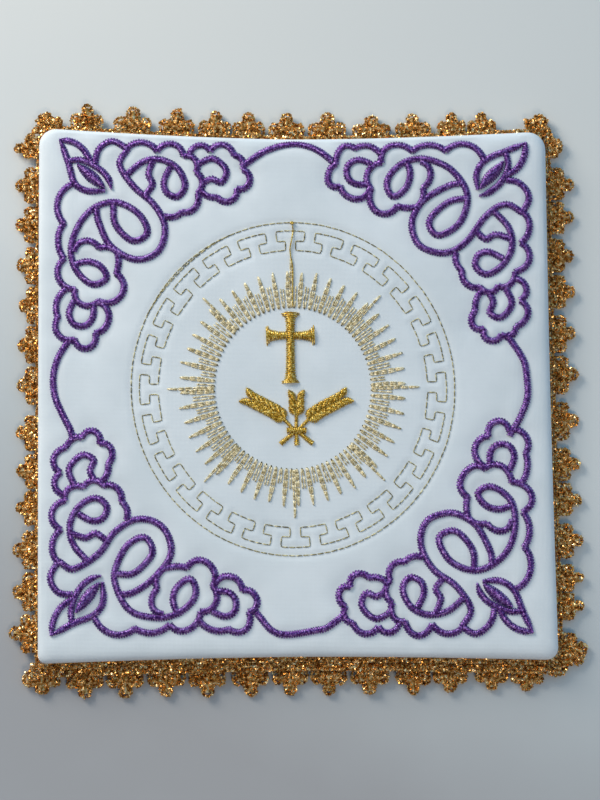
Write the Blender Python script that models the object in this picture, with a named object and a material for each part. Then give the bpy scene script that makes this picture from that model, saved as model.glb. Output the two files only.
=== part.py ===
"""A chalice pall: a stiffened, padded square of white cloth with a gold scalloped trim sewn round its rim.

The pall lies flat with its underside on the surface. +X runs to its right side, +Y to its far side and
+Z up through the face. The origin is the middle of the underside. Sizes are in metres.
"""

import math
import random

import bmesh
import bpy
from mathutils import Vector

MM = 0.001

# The four corners of the cover, going round from the near left one, each with its own rounding.
# Columns: name, x, y, radius, angle at which the rounding starts (degrees).
CORNERS = (
    ("near_left", -79.6, -82.5, 2.5, 180.0),
    ("near_right", 81.7, -82.0, 3.6, 270.0),
    ("far_right", 79.8, 83.3, 5.6, 0.0),
    ("far_left", -80.0, 85.0, 5.2, 90.0),
)

# How far each side pulls in between its corners, in the order in which the sides follow the corners,
# and how sharply it turns out again towards them.
SIDE_PULLS = (1.5, 0.4, 2.8, -0.1)
SIDE_TURN = 1.6

# The cover's section, from the rim of the flat underside up and over to the crown.
# Columns: inset from the widest outline, height.
COVER_SECTION = (
    (4.0, 0.0),
    (2.3, 0.35),
    (1.2, 1.3),
    (0.5, 2.9),
    (0.0, 4.4),
    (0.25, 5.6),
    (0.9, 6.5),
    (1.9, 7.05),
    (3.6, 7.4),
    (8.0, 7.6),
    (24.0, 7.75),
    (50.0, 7.8),
)

CORNER_STEPS = 6
SIDE_STEPS = 10

# The trim, run by run. It starts past the near left corner, goes round the pall and ends back there.
# Columns: run, whether its places are x (0) or y (1), width of the braided heading that shows,
# how far the scallops reach past the cloth at places along the run, place of each scallop's tip.
TRIM_RUNS = (
    ("near", 0, 4.3, ((-85.0, 8.6), (-65.0, 11.0), (-10.0, 12.0), (35.0, 11.6), (62.0, 9.6)),
     (-79.0, -65.5, -53.0, -40.0, -27.5, -14.0, -1.5, 10.5, 23.5, 37.0, 48.5, 61.5, 72.5)),
    ("right", 1, 2.0, ((-80.0, 8.4), (10.0, 8.4), (33.0, 7.0), (68.0, 7.8), (78.0, 4.8)),
     (-79.0, -66.0, -57.0, -45.5, -32.5, -21.5, -8.0, 6.5, 19.5, 33.0, 44.5, 56.5, 67.5, 78.5)),
    ("far", 0, 1.5, ((-65.0, 8.9), (10.0, 8.8), (25.0, 7.6), (60.0, 7.4), (76.0, 8.8)),
     (76.0, 60.0, 50.5, 38.5, 25.0, 11.0, -2.0, -14.0, -25.0, -37.0, -51.0, -65.5, -76.5)),
    ("left", 1, 1.1, ((-73.0, 9.0), (-60.0, 8.0), (-30.0, 6.6), (30.0, 6.0), (55.0, 7.2), (80.0, 7.8)),
     (79.5, 67.5, 55.0, 42.0, 29.5, 17.0, 4.0, -11.0, -23.0, -34.5, -47.5, -60.5, -73.5)),
)
TRIM_START_OVERHANG = 7.5 * MM
TRIM_THICKNESS = 2.0 * MM
TRIM_EDGE_ROUNDING = 0.4 * MM
TRIM_HEIGHT = 1.9 * MM
TRIM_WAVE = 0.25 * MM
TRIM_SEED = 7

# One scallop of the trim on a pitch of 12.6 mm and a height of 7.3 mm: three lobes of yarn.
# Columns: middle of the lobe along the pitch, its height, its radius, angles of its outline (degrees).
SCALLOP_PITCH = 12.6
SCALLOP_HEIGHT = 7.3
SCALLOP_WIDEST_PITCH = 12.8 * MM
SCALLOP_LOBES = (
    (-3.6, 2.1, 1.75, (205, 152, 100, 52)),
    (0.0, 5.65, 1.65, (205, 150, 110, 70, 30, -25)),
    (3.6, 2.1, 1.75, (128, 80, 28, -25)),
)


def clear_scene():
    for obj in list(bpy.data.objects):
        bpy.data.objects.remove(obj, do_unlink=True)


def new_collection(name):
    collection = bpy.data.collections.new(name)
    bpy.context.scene.collection.children.link(collection)
    return collection


def new_material(name, colour, roughness, metallic=0.0):
    material = bpy.data.materials.new(name)
    material.use_nodes = True
    shader = material.node_tree.nodes["Principled BSDF"]
    shader.inputs["Base Color"].default_value = (*colour, 1.0)
    shader.inputs["Roughness"].default_value = roughness
    shader.inputs["Metallic"].default_value = metallic
    return material


def corner_arc(x, y, radius, start_angle):
    """The points of one rounded corner, counterclockwise."""
    out_x = math.copysign(radius, x)
    out_y = math.copysign(radius, y)
    points = []
    for step in range(CORNER_STEPS + 1):
        angle = math.radians(start_angle + 90.0 * step / CORNER_STEPS)
        along = Vector((math.cos(angle), math.sin(angle))) * radius
        points.append((Vector((x - out_x, y - out_y)) + along) * MM)
    return points


def side_points(start, end, pull):
    """The points between two corners of a side that pulls in by that much at its middle."""
    inward = (end - start).orthogonal().normalized()
    points = []
    for step in range(1, SIDE_STEPS):
        t = step / SIDE_STEPS
        points.append(start.lerp(end, t) + inward * pull * MM * (1.0 - abs(2.0 * t - 1.0) ** SIDE_TURN))
    return points


def outline_pieces():
    """The cover's widest outline as its arcs and its sides, counterclockwise from the near left corner."""
    arcs = [corner_arc(x, y, radius, angle) for _, x, y, radius, angle in CORNERS]
    sides = []
    for index, pull in enumerate(SIDE_PULLS):
        following = arcs[(index + 1) % len(arcs)]
        sides.append(side_points(arcs[index][-1], following[0], pull))
    return arcs, sides


def make_cover(collection, material):
    """The padded square as rings that follow its section, closed by a flat underside and a crown."""
    arcs, sides = outline_pieces()
    outline = [point for arc, side in zip(arcs, sides) for point in arc + side]
    half_width = max(point.x for point in outline)
    bm = bmesh.new()
    rings = []
    for inset, height in COVER_SECTION:
        scale = 1.0 - inset * MM / half_width
        rings.append([bm.verts.new((p.x * scale, p.y * scale, height * MM)) for p in outline])
    for ring in rings:
        for here, there in zip(ring, ring[1:] + ring[:1]):
            bm.edges.new((here, there))
    for lower, upper in zip(rings, rings[1:]):
        edges = [bm.edges.get(pair) for ring in (lower, upper) for pair in zip(ring, ring[1:] + ring[:1])]
        bmesh.ops.bridge_loops(bm, edges=edges)
    bm.faces.new(rings[0])
    bm.faces.new(rings[-1])
    bmesh.ops.recalc_face_normals(bm, faces=bm.faces)
    return finish_mesh(bm, "cover", collection, material)


def finish_mesh(bm, name, collection, material):
    mesh = bpy.data.meshes.new(name)
    bm.to_mesh(mesh)
    bm.free()
    mesh.shade_smooth()
    mesh.set_sharp_from_angle(angle=math.radians(50))
    mesh.materials.append(material)
    obj = bpy.data.objects.new(name, mesh)
    collection.objects.link(obj)
    return obj


class SewingLine:
    """The line that the trim follows round the rim, read by the length along it."""

    def __init__(self):
        arcs, sides = outline_pieces()
        first = arcs[0][-1]
        overhang = (first - arcs[1][0]).normalized() * TRIM_START_OVERHANG
        self.points = [first + overhang, first]
        self.stations = [0.0]
        for index, side in enumerate(sides):
            self.points += side
            following = arcs[(index + 1) % len(arcs)]
            if index < len(sides) - 1:
                middle = len(self.points) + CORNER_STEPS // 2
                self.points += following
                self.stations.append(self.length_to(middle))
            else:
                self.points.append(following[0])
        self.lengths = [self.length_to(index) for index in range(len(self.points))]
        self.stations.append(self.lengths[-1])
        self.normals = [self.outward(index) for index in range(len(self.points))]

    def length_to(self, index):
        pairs = zip(self.points[:index], self.points[1 : index + 1])
        return sum((there - here).length for here, there in pairs)

    def outward(self, index):
        before = self.points[max(index - 1, 0)]
        after = self.points[min(index + 1, len(self.points) - 1)]
        along = (after - before).normalized()
        return Vector((along.y, -along.x))

    def station_of(self, run, axis, place):
        """How far along the line one run comes to that x (axis 0) or y (axis 1)."""
        for index in range(1, len(self.points)):
            here, there = self.points[index - 1][axis], self.points[index][axis]
            inside = self.stations[run] <= self.lengths[index] and self.lengths[index - 1] <= self.stations[run + 1]
            if inside and min(here, there) <= place <= max(here, there):
                t = (place - here) / (there - here)
                return self.lengths[index - 1] + t * (self.lengths[index] - self.lengths[index - 1])
        raise ValueError(f"no place {place} on run {run}")

    def place(self, length, out):
        """The point that lies so far along the line and so far out from it."""
        length = min(max(length, 0.0), self.lengths[-1])
        index = next(i for i in range(1, len(self.lengths)) if self.lengths[i] >= length)
        span = self.lengths[index] - self.lengths[index - 1]
        t = (length - self.lengths[index - 1]) / span
        point = self.points[index - 1].lerp(self.points[index], t)
        normal = self.normals[index - 1].lerp(self.normals[index], t).normalized()
        return point + normal * out


def value_at(table, place):
    """The value at a place, straight in between the rows of a table of places and values."""
    if place <= table[0][0]:
        return table[0][1]
    for (place_a, value_a), (place_b, value_b) in zip(table, table[1:]):
        if place <= place_b:
            return value_a + (value_b - value_a) * (place - place_a) / (place_b - place_a)
    return table[-1][1]


def trim_scallops(line):
    """Each scallop of the trim: its middle along the line, pitch, heading, height and lean."""
    chance = random.Random(TRIM_SEED)
    middles = []
    for run, (_, axis, heading, reaches, tips) in enumerate(TRIM_RUNS):
        for tip in tips:
            reach = value_at(reaches, tip) + chance.uniform(-0.3, 0.3)
            middles.append((line.station_of(run, axis, tip * MM), heading * MM, (reach - heading) * MM))
    scallops = []
    for index, (middle, heading, tall) in enumerate(middles):
        before = middles[index - 1][0] if index else 2.0 * middle - middles[1][0]
        after = middles[index + 1][0] if index + 1 < len(middles) else 2.0 * middle - before
        nearest = min(middle - before, after - middle)
        pitch = min(SCALLOP_WIDEST_PITCH, nearest, 2.2 * middle, 2.2 * (line.lengths[-1] - middle))
        scallops.append((middle, pitch, heading, tall, chance.uniform(-0.4, 0.4) * MM))
    return scallops


def scallop_outline(line, middle, pitch, heading, height, lean):
    """The outer edge of one scallop, lobe by lobe."""
    across = pitch / SCALLOP_PITCH
    up = height / SCALLOP_HEIGHT
    points = []
    for centre, level, radius, angles in SCALLOP_LOBES:
        for angle in angles:
            turn = math.radians(angle)
            out = (level + radius * math.sin(turn)) * up
            along = (centre + radius * math.cos(turn)) * across + lean * out / height
            points.append(line.place(middle + along, heading + out))
    return points


def trim_outline(line):
    """The trim seen from above: its scalloped outer edge, then its straight inner edge back to the start."""
    scallops = trim_scallops(line)
    outer = [line.place(0.0, scallops[0][2])]
    for index, scallop in enumerate(scallops):
        outer += scallop_outline(line, *scallop)
        if index + 1 < len(scallops):
            following = scallops[index + 1]
            notch = (scallop[0] + following[0]) / 2
            outer.append(line.place(notch, (scallop[2] + following[2]) / 2))
    total = line.lengths[-1]
    outer.append(line.place(total, scallops[-1][2]))
    inner = [line.place(length, 0.0) for length in reversed(line.lengths)]
    return outer + inner


def trim_lift(x, y):
    """How far the trim rises or droops from its own level at a place in plan."""
    angle = math.atan2(y, x)
    return TRIM_WAVE * (math.sin(9 * angle) + 0.6 * math.sin(23 * angle + 1.0))


def make_trim(collection, material):
    """The gold trim as a flat outline with rounded edges, waved a little where it lies."""
    outline = trim_outline(SewingLine())
    curve = bpy.data.curves.new("gold_trim", "CURVE")
    curve.dimensions = "2D"
    curve.fill_mode = "BOTH"
    curve.extrude = TRIM_THICKNESS / 2 - TRIM_EDGE_ROUNDING
    curve.bevel_depth = TRIM_EDGE_ROUNDING
    curve.bevel_resolution = 0
    curve.offset = -TRIM_EDGE_ROUNDING
    spline = curve.splines.new("POLY")
    spline.points.add(len(outline) - 1)
    for point, place in zip(spline.points, outline):
        point.co = (place.x, place.y, 0.0, 1.0)
    spline.use_cyclic_u = True
    guide = bpy.data.objects.new("gold_trim_outline", curve)
    collection.objects.link(guide)
    bpy.context.view_layer.update()
    evaluated = guide.evaluated_get(bpy.context.evaluated_depsgraph_get())
    mesh = bpy.data.meshes.new_from_object(evaluated)
    bpy.data.objects.remove(guide, do_unlink=True)

    bm = bmesh.new()
    bm.from_mesh(mesh)
    bpy.data.meshes.remove(mesh)
    bmesh.ops.remove_doubles(bm, verts=bm.verts, dist=0.01 * MM)
    for vert in bm.verts:
        vert.co.z += TRIM_HEIGHT + trim_lift(vert.co.x, vert.co.y)
    bmesh.ops.recalc_face_normals(bm, faces=bm.faces)
    return finish_mesh(bm, "gold_trim", collection, material)


def main():
    clear_scene()
    collection = new_collection("chalice_pall")
    white_cloth = new_material("white_cotton_sateen", (0.80, 0.83, 0.86), 0.85)
    gold_yarn = new_material("gold_metallic_yarn", (0.62, 0.40, 0.10), 0.4, 0.7)
    make_cover(collection, white_cloth)
    make_trim(collection, gold_yarn)


main()
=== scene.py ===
import bisect
import math
import random

import bmesh
import bpy
from mathutils import Matrix, Vector, kdtree, noise


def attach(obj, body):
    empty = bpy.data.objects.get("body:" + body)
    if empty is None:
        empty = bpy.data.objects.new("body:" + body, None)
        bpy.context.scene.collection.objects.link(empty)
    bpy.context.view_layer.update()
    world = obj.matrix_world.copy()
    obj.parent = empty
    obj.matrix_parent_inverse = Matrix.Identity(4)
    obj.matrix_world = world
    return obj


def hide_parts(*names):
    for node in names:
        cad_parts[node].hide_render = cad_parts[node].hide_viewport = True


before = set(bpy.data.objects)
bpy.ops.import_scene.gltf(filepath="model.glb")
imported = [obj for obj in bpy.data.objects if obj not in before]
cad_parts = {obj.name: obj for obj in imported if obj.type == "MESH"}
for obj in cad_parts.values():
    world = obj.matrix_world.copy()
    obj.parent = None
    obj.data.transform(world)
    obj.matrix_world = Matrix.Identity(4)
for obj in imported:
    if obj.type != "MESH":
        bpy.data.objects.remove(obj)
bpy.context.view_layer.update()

mm = 0.001


def hexColour(code):
    # sRGB hex to the linear values that shaders want
    parts = [int(code[i:i + 2], 16) / 255 for i in (1, 3, 5)]
    return tuple(p / 12.92 if p <= 0.04045 else ((p + 0.055) / 1.055) ** 2.4 for p in parts) + (1.0,)


def addNode(tree, kind, settings=None, links=None):
    # settings: attributes, or socket values by name or number; links: socket -> the output that feeds it
    node = tree.nodes.new(kind)
    for key, value in (settings or {}).items():
        if isinstance(key, str) and hasattr(node, key):
            setattr(node, key, value)
        else:
            node.inputs[key].default_value = value
    for key, output in (links or {}).items():
        tree.links.new(output, node.inputs[key])
    return node


def startMaterial(name, settings):
    material = bpy.data.materials.new(name)
    material.use_nodes = True
    tree = material.node_tree
    shader = tree.nodes["Principled BSDF"]
    for key, value in settings.items():
        shader.inputs[key].default_value = value
    places = addNode(tree, "ShaderNodeTexCoord").outputs["Object"]
    return material, tree, shader, places


def setStops(ramp, stops):
    # stops: place along the ramp and hex colour
    elements = ramp.color_ramp.elements
    while len(elements) < len(stops):
        elements.new(1.0)
    for element, (position, code) in zip(elements, stops):
        element.position = position
        element.color = hexColour(code)


def addObject(name, data):
    obj = bpy.data.objects.new(name, data)
    bpy.context.scene.collection.objects.link(obj)
    return obj


def curveThrough(places, steps=10):
    # a smooth line through a few places, in so many steps from each to the next
    spots = [Vector(p) for p in places]
    spots = [2 * spots[0] - spots[1]] + spots + [2 * spots[-1] - spots[-2]]
    line = []
    for a, b, c, d in zip(spots, spots[1:], spots[2:], spots[3:]):
        for step in range(steps):
            t = step / steps
            line.append(0.5 * (2 * b + (c - a) * t + (2 * a - 5 * b + 4 * c - d) * t * t
                               + (3 * b - a - 3 * c + d) * t ** 3))
    line.append(spots[-2])
    return line


def arcBetween(start, end, bulge):
    # a round arc that stands out to the left of its run by the bulge
    steps = 16
    start, end = Vector(start), Vector(end)
    chord = end - start
    if abs(bulge) < 0.01:
        return [start, end]
    side = Vector((-chord.y, chord.x)).normalized()
    radius = (chord.length_squared / 4 + bulge * bulge) / (2 * bulge)
    centre = (start + end) / 2 - side * (radius - bulge)
    sweep = 4 * math.atan2(2 * bulge, chord.length)
    first = start - centre
    line = []
    for step in range(steps + 1):
        turn = -sweep * step / steps
        line.append(centre + Matrix.Rotation(turn, 2) @ first)
    return line


def runningLengths(line):
    lengths = [0.0]
    for a, b in zip(line, line[1:]):
        lengths.append(lengths[-1] + (b - a).length)
    return lengths


def findStep(steps, value):
    # which step of a rising list the value falls in, and what share of that step it has come
    low = min(max(bisect.bisect_right(steps, value) - 1, 0), len(steps) - 2)
    span = steps[low + 1] - steps[low]
    return low, (value - steps[low]) / span if span else 0.0


def evenPlaces(line, spacing, smoothing=0.0):
    # places at even steps along a line: share of its length, the place and the line's direction there
    lengths = runningLengths(line)
    total = lengths[-1]
    count = max(1, round(total / spacing))

    def placeAt(length):
        low, share = findStep(lengths, min(max(length, 0.0), total))
        return line[low].lerp(line[low + 1], share)

    reach = max(smoothing, spacing * 0.5)
    places = []
    for index in range(count + 1):
        length = total * index / count
        along = (placeAt(length + reach) - placeAt(length - reach)).normalized()
        places.append((index / count, placeAt(length), along))
    return places


def readTable(table, t):
    # straight in-between value of a table of (t, value)
    if t <= table[0][0]:
        return table[0][1]
    for (t0, v0), (t1, v1) in zip(table, table[1:]):
        if t <= t1:
            return v0 + (v1 - v0) * (t - t0) / (t1 - t0)
    return table[-1][1]


cover = {
    # corners going round from the near left one: x, y, radius, angle at which the rounding starts
    "corners": ((-79.6, -82.5, 2.5, 180), (81.7, -82.0, 3.6, 270),
                (79.8, 83.3, 5.6, 0), (-80.0, 85.0, 5.2, 90)),
    "cornerStep": 9,         # degrees between the points of a corner
    "sidePulls": (1.5, 0.4, 2.8, -0.1),      # how far each side pulls in: near, right, far, left
    "sideSteps": 40,
    "sideTurn": 1.6,         # 2 bends a side in a plain parabola, less draws its middle to a point
    # from the widest outline inwards over the rounded edge to the crown: inset, height
    "topSection": ((0.0, 4.4), (0.25, 5.6), (0.9, 6.5), (1.9, 7.05),
                   (3.6, 7.4), (8.0, 7.6), (24.0, 7.75), (50.0, 7.8)),
    # from there down and in under the rim
    "sideSection": ((0.0, 4.4), (0.5, 2.9), (1.2, 1.3), (2.3, 0.35), (4.0, 0.0)),
    "gridCells": 196,
    "edgeInset": 1.9,        # where the face's grid ends and the rings of the edge start
    "unevenness": 0.16, "unevenSize": 34,
    "ripple": 0.05, "rippleSize": 9,
    "calmRim": 4,            # width of the edge over which both fade out
    "stitchSpacing": 0.6,    # between the spots that stand for a line where it draws the padding in
    "satinPull": 0.34,       # how deep a satin line draws the padding in
    "satinPullReach": 1.9,
    "runPull": 0.24,
    "runPullReach": 1.0,
    "puff": 0.62,            # how much higher the padding stands inside a loop of a line than outside it
    "puffReach": 3.4, "puffLimit": 9,
    "puffSteepness": 1.6,
}


def coverOutline():
    arcs = []
    for x, y, radius, first in cover["corners"]:
        centre = Vector((x - math.copysign(radius, x), y - math.copysign(radius, y)))
        turns = [math.radians(first + a) for a in range(0, 91, cover["cornerStep"])]
        arcs.append([centre + radius * Vector((math.cos(turn), math.sin(turn))) for turn in turns])
    sides = []
    shares = [t / cover["sideSteps"] for t in range(1, cover["sideSteps"])]
    for index, pull in enumerate(cover["sidePulls"]):
        start, end = arcs[index][-1], arcs[(index + 1) % 4][0]
        inward = (end - start).orthogonal().normalized()
        sides.append([start.lerp(end, t) + inward * pull * (1 - abs(2 * t - 1) ** cover["sideTurn"])
                      for t in shares])
    return arcs, sides


outlineArcs, outlineSides = coverOutline()
outline = [p for arc, side in zip(outlineArcs, outlineSides) for p in arc + side]
halfWidth = max(p.x for p in outline)
outlineByAngle = sorted((math.atan2(p.y, p.x), p.length) for p in outline)
(firstAngle, firstRadius), (lastAngle, lastRadius) = outlineByAngle[0], outlineByAngle[-1]
outlineByAngle = [(lastAngle - math.tau, lastRadius), *outlineByAngle, (firstAngle + math.tau, firstRadius)]
outlineAngles = [angle for angle, _ in outlineByAngle]
topCurve = [(p.x, p.y) for p in curveThrough(cover["topSection"], 8)]
sideCurve = [tuple(p) for p in curveThrough(cover["sideSection"], 4)]


def outlineRadius(angle):
    low, _ = findStep(outlineAngles, angle)
    (a0, r0), (a1, r1) = outlineByAngle[low:low + 2]
    return r0 + (r1 - r0) * (angle - a0) / (a1 - a0)


def insetAt(x, y):
    # how far in from the outline, on the ray from the middle, as if the cover were halfWidth all round
    distance = math.hypot(x, y)
    if distance < 1:
        return halfWidth
    return halfWidth * (1 - distance / outlineRadius(math.atan2(y, x)))


def bareHeight(x, y):
    # the padded face before stitching: its section, and the slight unevenness of hand-laid wadding
    inset = insetAt(x, y)
    height = readTable(topCurve, inset)
    fade = min(1.0, max(0.0, inset / cover["calmRim"]))
    broad = noise.noise(Vector((x / cover["unevenSize"], y / cover["unevenSize"], 3.1)))
    fine = noise.noise(Vector((x / cover["rippleSize"], y / cover["rippleSize"], 8.7)))
    return height + fade * (cover["unevenness"] * broad + cover["ripple"] * fine)


satin = {
    "halfWidth": 1.01,
    "rise": 0.85,
    "pitch": 0.37,         # between one thread and the next, which lean against each other in a zigzag
    "lean": 0.11,
    "threadRadius": 0.2,
    "edgeJitter": 0.06,
    "tooth": 0.05,         # how much further the outer ends of every other pair reach
    "padding": 0.62,       # radius of the padding thread under the stitches
    "paddingShare": 0.62,  # of the line's half width, where that is less
    "paddingTop": 0.72,    # how high the padding's back reaches, as a share of the rise
    "arch": ((-1.0, -0.12), (-0.68, 0.66), (0.0, 1.0), (0.68, 0.66), (1.0, -0.12)),
    "roll": 0.34,          # how far the crest rolls to the inner side of a bend
    "tightBend": 2.2,      # how strongly it does so for how tight the bend is
}

# All in millimetres on the face. The corner scrollwork is charted once, for the far left corner, on a
# design that is as wide as it is tall, and turns a quarter for each corner.

embroidery = {
    "centre": (-0.4, 2.5),
    "stretch": (0.982, 1.045),
    # far left, far right, near right, near left
    "cornerShifts": ((-0.4, 1.0), (1.5, -0.5), (1.2, 1.2), (-0.8, 0.8)),
    # how far out the arc between two corners runs: far, right, near, left
    "arcReaches": (72.7, 73.3, 73.8, 75.0),
    # how near a place among the drifts has to be to carry a stitch along, and to count at all
    "driftReach": 5.5, "driftLimit": 30, "driftFloor": 0.0008,
}

# where the stitching drifted on the soft padding: x and y on the face, drift along x and y there
drifts = (
    # far left
    (-72, 79, 0, 0.1), (-45, 53, 0, 0), (-50, 66, 0, 0), (-35, 60, 0, 0), (-30, 74, 0, 0),
    (-16, 66, 0, 0), (-55, 40, 0, 0), (-66, 18, 0, 0), (-52, 60, -0.2, -0.5), (-64, 49, 0, -0.8),
    (-64, 42.5, 0, -0.7), (-66.5, 57, -0.3, 0.3), (-70, 41, 0.8, 0), (-42, 44, 0.4, -0.5),
    (-21, 60, 0, 0.6), (-56, 28.5, 0, 0.8), (-63, 26, -0.4, 0), (-74, 24, -0.4, 0), (-74.5, 40, -0.3, 0),
    (-74, 60, -0.3, 0), (-9, 76.5, 0, -0.6), (0, 79, 0, 0),
    # far right
    (7, 77.5, 0, -0.5), (21, 70, -1.8, -1.2), (25, 68, -0.9, -0.5), (35, 68.5, -1.9, -0.8),
    (42, 68, -1.6, -0.5), (39, 75, 0, -1.2), (34, 79, -2.4, -0.5), (42, 79, -1.2, -0.4),
    (53, 79, -0.7, -0.2), (72.7, 78.2, -0.5, 0.5), (60, 60, -0.9, 1.1), (50, 70, -0.5, 0.3),
    (73, 60, 0.8, 0.9), (72, 65, 0.2, 0.6), (73, 52, 1.2, 1.4), (73, 43, 1.5, 1.4), (72.7, 29, 1.8, 1.0),
    (61.5, 17, -0.7, 2.7), (67, 18, 0, 0.5), (55, 24, 0.7, -1.0), (56.5, 19.5, 1.5, 0.6),
    (54, 33, 0.9, 1.6), (67.5, 30, -0.9, 0.9), (51, 38.5, 0.8, 0.6), (60, 31, 0.8, 0.7),
    (61, 26, 1.0, 1.2), (64.5, 23, 0.2, 1.0), (61, 41, -0.3, 0.7), (67, 50, 0.3, 1.2),
    (60, 51, -0.1, 1.2), (46, 43, -0.8, 0.9), (38, 51, -1.2, 0), (23.5, 60, -0.4, -0.3),
    (28, 57.5, -1.1, -0.3), (68.5, 13, 0.7, 0), (72, 1, 0, 0),
    # near right
    (70.5, -7, -1.4, 0), (14.5, -60, 0.4, -0.9), (20, -55, -0.8, -1.8), (22.7, -73, 0, -1.6),
    (17, -71.5, -0.6, -1.2), (30.5, -73.5, 0, -1.3), (39.4, -73, 0, -2.4), (48.4, -74, 0, -0.8),
    (57, -74, -1.2, -0.2), (52.5, -71, 0.3, -0.9), (37.5, -60, -0.4, -0.7), (43.6, -68, 0, 0.3),
    (53.5, -62, 0.4, -0.2), (40, -41, -1.1, 0.3), (35, -50, -0.6, -0.9), (24, -66, 0.2, -1.4),
    (29.5, -60, -0.1, -0.8), (49, -35, -0.5, -0.5), (51, -29.5, -1.9, -0.2), (53.5, -21.5, -0.3, -1.2),
    (55, -17, -1.8, 0.4), (57, -13, -0.9, 0.1), (62, -8, -1.1, -0.2), (62.5, -15, -1.2, -0.4),
    (74, -14, -0.9, -0.4), (75, -21, -1.3, -0.4), (66.7, -19, -1.2, -0.4), (75, -31, 0.4, -0.8),
    (61, -28, -1.1, -0.4), (63.5, -35, -1.3, 0.5), (70, -39, -1.7, 0), (75, -42, -0.3, 0),
    (66.5, -47, 0.4, 0), (63, -50, 0.2, -0.5), (62, -42, -1.1, 0.6), (60, -46, -0.3, 0.1),
    (51, -47, -0.6, -0.2), (74.4, -74.3, 0.5, 0.4), (65, -70, 0, 0.6), (68, -58, -0.4, -0.6),
    (58.5, -58, -0.7, 0.3), (72, -64, -0.2, 0), (74.6, -53, -0.4, 0),
    # near left
    (0.5, -75, 0, 0), (-73, -20, -2.4, -0.4), (-73, -27, -2.1, 0), (-62.6, -12, -1.1, -0.4),
    (-56, -18, -1.6, 0.3), (-64.5, -22, -1.1, 0), (-72, -7.5, 1.2, 0), (-74, 3, 0, 0),
    (-54, -28.5, -1.5, -0.1), (-51, -34, -1.2, 0.5), (-54, -41, -1.1, 0), (-62, -36, -1.0, 0.6),
    (-73.3, -37, -2.6, 0), (-74, -46, -2.2, -0.4), (-74, -57, -1.9, 0), (-69, -46, -0.9, 0.2),
    (-67, -55, -2.2, 0.3), (-61, -48, -0.4, 0.8), (-62, -42.5, -1.1, 0.1), (-47, -38.5, 0, 0.8),
    (-45, -47, -0.1, 0.9), (-38, -48, 0.6, 0.9), (-53, -55, -0.2, 0.6), (-57.2, -51.2, 1.2, 0.7),
    (-50, -66, -1.0, -1.5), (-49.5, -60.5, 0.1, -0.3), (-26, -51.5, 0.1, 0.5), (-25.5, -58, 0.2, 1.8),
    (-31.7, -53.5, 1.3, 2.0), (-44.5, -65, 1.2, 1.2), (-41, -70, 0.7, 1.9), (-37.5, -63, 1.5, 0.8),
    (-41.3, -60, -0.9, 0.9), (-36.3, -69.5, 0.8, 3.0), (-29.5, -60, 0.5, 1.3), (-18, -56, 0.5, 1.0),
    (-12.5, -61, 0.4, 0.7), (-17, -63.5, 0.1, 2.0), (-21.5, -60.5, 0.9, 1.2), (-14, -68, 1.0, 2.1),
    (-8, -72, 0.5, -1.1), (-24, -76, 0.9, 1.9), (-19, -75, 1.4, 1.3), (-35.5, -74.5, -0.4, 1.5),
    (-43, -76, -0.5, 0.7), (-54.5, -75.4, -0.5, 0.7), (-21.7, -67, 0.9, 2.1), (-65, -69.5, -1.1, 1.0),
    (-60.5, -58, -0.6, 1.2), (-74, -74.5, -1.2, 0),
)

scrolls = {
    "budRoof": ((-73.5, 74), (-69.5, 73.4), (-66, 71), (-63.5, 67)),
    "budSide": ((-73.5, 74), (-71, 67.5), (-68.7, 61), (-64.5, 58.3), (-59, 58.8)),
    "budFold": ((-70.6, 67.6), (-66.5, 67.8), (-61, 65.3), (-58, 62.3), (-57, 59.4)),
    "budBump": ((-62.2, 67), (-61.5, 70.5), (-59, 73), (-56, 73.6), (-52.3, 71.5)),
    "mainScroll": ((-52, 71), (-54.5, 66.5), (-50, 60), (-43.5, 54.5), (-40, 47.5), (-42.5, 40.5),
                   (-50, 38), (-57, 42), (-61, 49.5), (-61.5, 53.5)),
    "innerScroll": ((-56.2, 55), (-55.7, 49), (-50.5, 43.5), (-45.5, 46), (-49, 52.5), (-57, 55.5),
                    (-65, 51), (-69.8, 43), (-69.4, 36.3), (-65.5, 31.8), (-61.5, 30.4), (-58.4, 32.5),
                    (-60.8, 36.5), (-65, 37.8), (-68.7, 36.6)),
    "roseHeart": ((-52, 63.5), (-47, 67.3), (-41.5, 68), (-36, 65.3), (-33.5, 60), (-36, 56.6), (-39.5, 58),
                  (-40.3, 61.5), (-38.3, 65.5)),
    "roseFold": ((-43.8, 67.6), (-45.3, 63.5), (-43.8, 60.5), (-46, 57.5)),
    "smallHeart": ((-29.5, 66.5), (-24.5, 68.2), (-20.3, 64.5), (-22, 60.6), (-25, 62), (-27.6, 60.8)),
    "lowerHeart": ((-68.6, 25.4), (-70.1, 21.5), (-68.4, 18.2), (-64.7, 18), (-62.5, 20.4), (-62.3, 24.4)),
}
# the arc between two corners: place along the side, and how far short of its reach
sideArc = ((-15.5, -6.8), (-8, -1.8), (1.3, 0), (8, -1.3), (13.6, -4.9))
# half the width of a line where it starts and ends, where it runs out in a point
lineEnds = {"budRoof": (0.3, 0.86), "budSide": (0.3, 0.5), "budFold": (0.86, 0.25)}

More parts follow.
